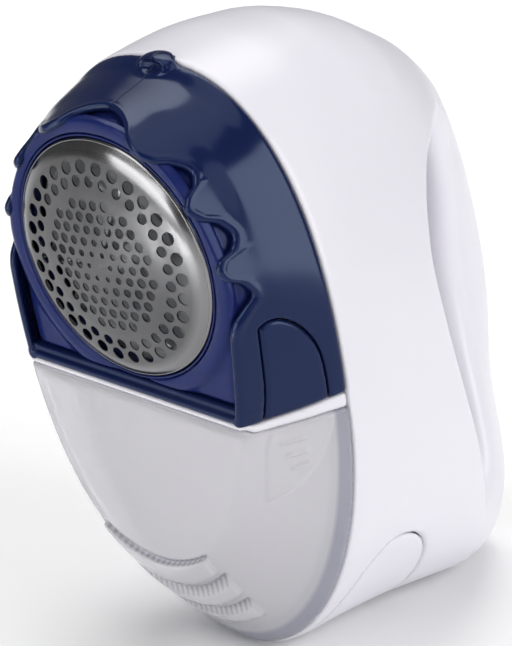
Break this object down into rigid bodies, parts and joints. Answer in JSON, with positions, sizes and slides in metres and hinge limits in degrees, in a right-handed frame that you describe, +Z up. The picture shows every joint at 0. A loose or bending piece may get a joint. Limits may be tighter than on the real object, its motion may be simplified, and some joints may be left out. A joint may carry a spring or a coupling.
{
  "type": "fabric shaver",
  "caption": "Battery fabric shaver with a tilted round perforated foil head, scalloped comb guard, clear lint container and a finger-loop handle.",
  "frame": {"origin": "centre of the bounding box on the base plane", "axes": "+Z up, -Y is the front where the foil looks, +X to the right seen from the front"},
  "size_m": [0.086, 0.1309, 0.1455],
  "materials": {
    "white": "soft gloss white with a faint lilac tint",
    "grey_plastic": "moulded grey",
    "navy": "high gloss dark navy",
    "royal": "gloss royal blue",
    "clear": "translucent smoke-clear",
    "foil": "polished, finely brushed",
    "blade_steel": "ground",
    "steel": "plated",
    "brass": "bright",
    "can": "zinc-plated steel can",
    "cell": "printed-sleeve dark grey, no text",
    "switch_navy": "satin navy with ribs",
    "red_wire": "insulation",
    "black_wire": "insulation"
  },
  "bodies": {
    "housing": {"main_housing": "white", "handle_rear_cover": "white", "cover_screw_1": "steel", "cover_screw_2": "steel", "bulkhead_shelf": "white", "battery_tray": "grey_plastic", "battery_left": "cell", "battery_right": "cell", "contact_plate_top": "brass", "head_frame": "royal", "cutting_chamber": "grey_plastic", "motor": "can", "motor_mount": "white", "motor_screw_1": "steel", "motor_screw_2": "steel", "switch_body": "grey_plastic", "wire_red": "red_wire", "wire_black": "black_wire"},
    "rotor": {"motor_shaft": "steel", "blade_hub": "grey_plastic", "blade_1": "blade_steel", "blade_2": "blade_steel", "blade_3": "blade_steel", "fan": "grey_plastic", "blade_spring": "steel"},
    "foil_head": {"foil_ring": "royal", "foil_screen": "foil"},
    "guard": {"guard": "navy"},
    "guard_button_left": {"guard_button_left": "navy"},
    "guard_button_right": {"guard_button_right": "navy"},
    "lint_container": {"lint_container": "clear"},
    "power_switch": {"switch_slider": "switch_navy"},
    "battery_door": {"battery_door": "white", "contact_plate_bottom": "brass", "contact_spring_left": "brass", "contact_spring_right": "brass"}
  },
  "joints": [
    {"name": "rotor_spin", "type": "hinge", "parent": "housing", "child": "rotor", "pos_m": [0, -0.0578, 0.101], "axis": [0, -0.9848, -0.1736], "continuous": true},
    {"name": "foil_ring_turn", "type": "hinge", "parent": "housing", "child": "foil_head", "pos_m": [0, -0.0578, 0.101], "axis": [0, -0.9848, -0.1736], "range_deg": [0, 25]},
    {"name": "guard_pull_off", "type": "slide", "parent": "housing", "child": "guard", "axis": [0, -0.9848, -0.1736], "range_m": [0, 0.03]},
    {"name": "guard_button_left_press", "type": "slide", "parent": "guard", "child": "guard_button_left", "axis": [1, 0, 0], "range_m": [0, 0.0015], "stiffness_N_per_m": 400, "springref_m": -0.0005},
    {"name": "guard_button_right_press", "type": "slide", "parent": "guard", "child": "guard_button_right", "axis": [-1, 0, 0], "range_m": [0, 0.0015], "stiffness_N_per_m": 400, "springref_m": -0.0005},
    {"name": "container_pull_off", "type": "slide", "parent": "housing", "child": "lint_container", "axis": [0, -0.9848, -0.1736], "range_m": [0, 0.04]},
    {"name": "power_switch_slide", "type": "slide", "parent": "housing", "child": "power_switch", "axis": [0, -0.2965, 0.955], "range_m": [0, 0.006]},
    {"name": "battery_door_drop", "type": "slide", "parent": "housing", "child": "battery_door", "axis": [0, 0, -1], "range_m": [0, 0.03]}
  ]
}
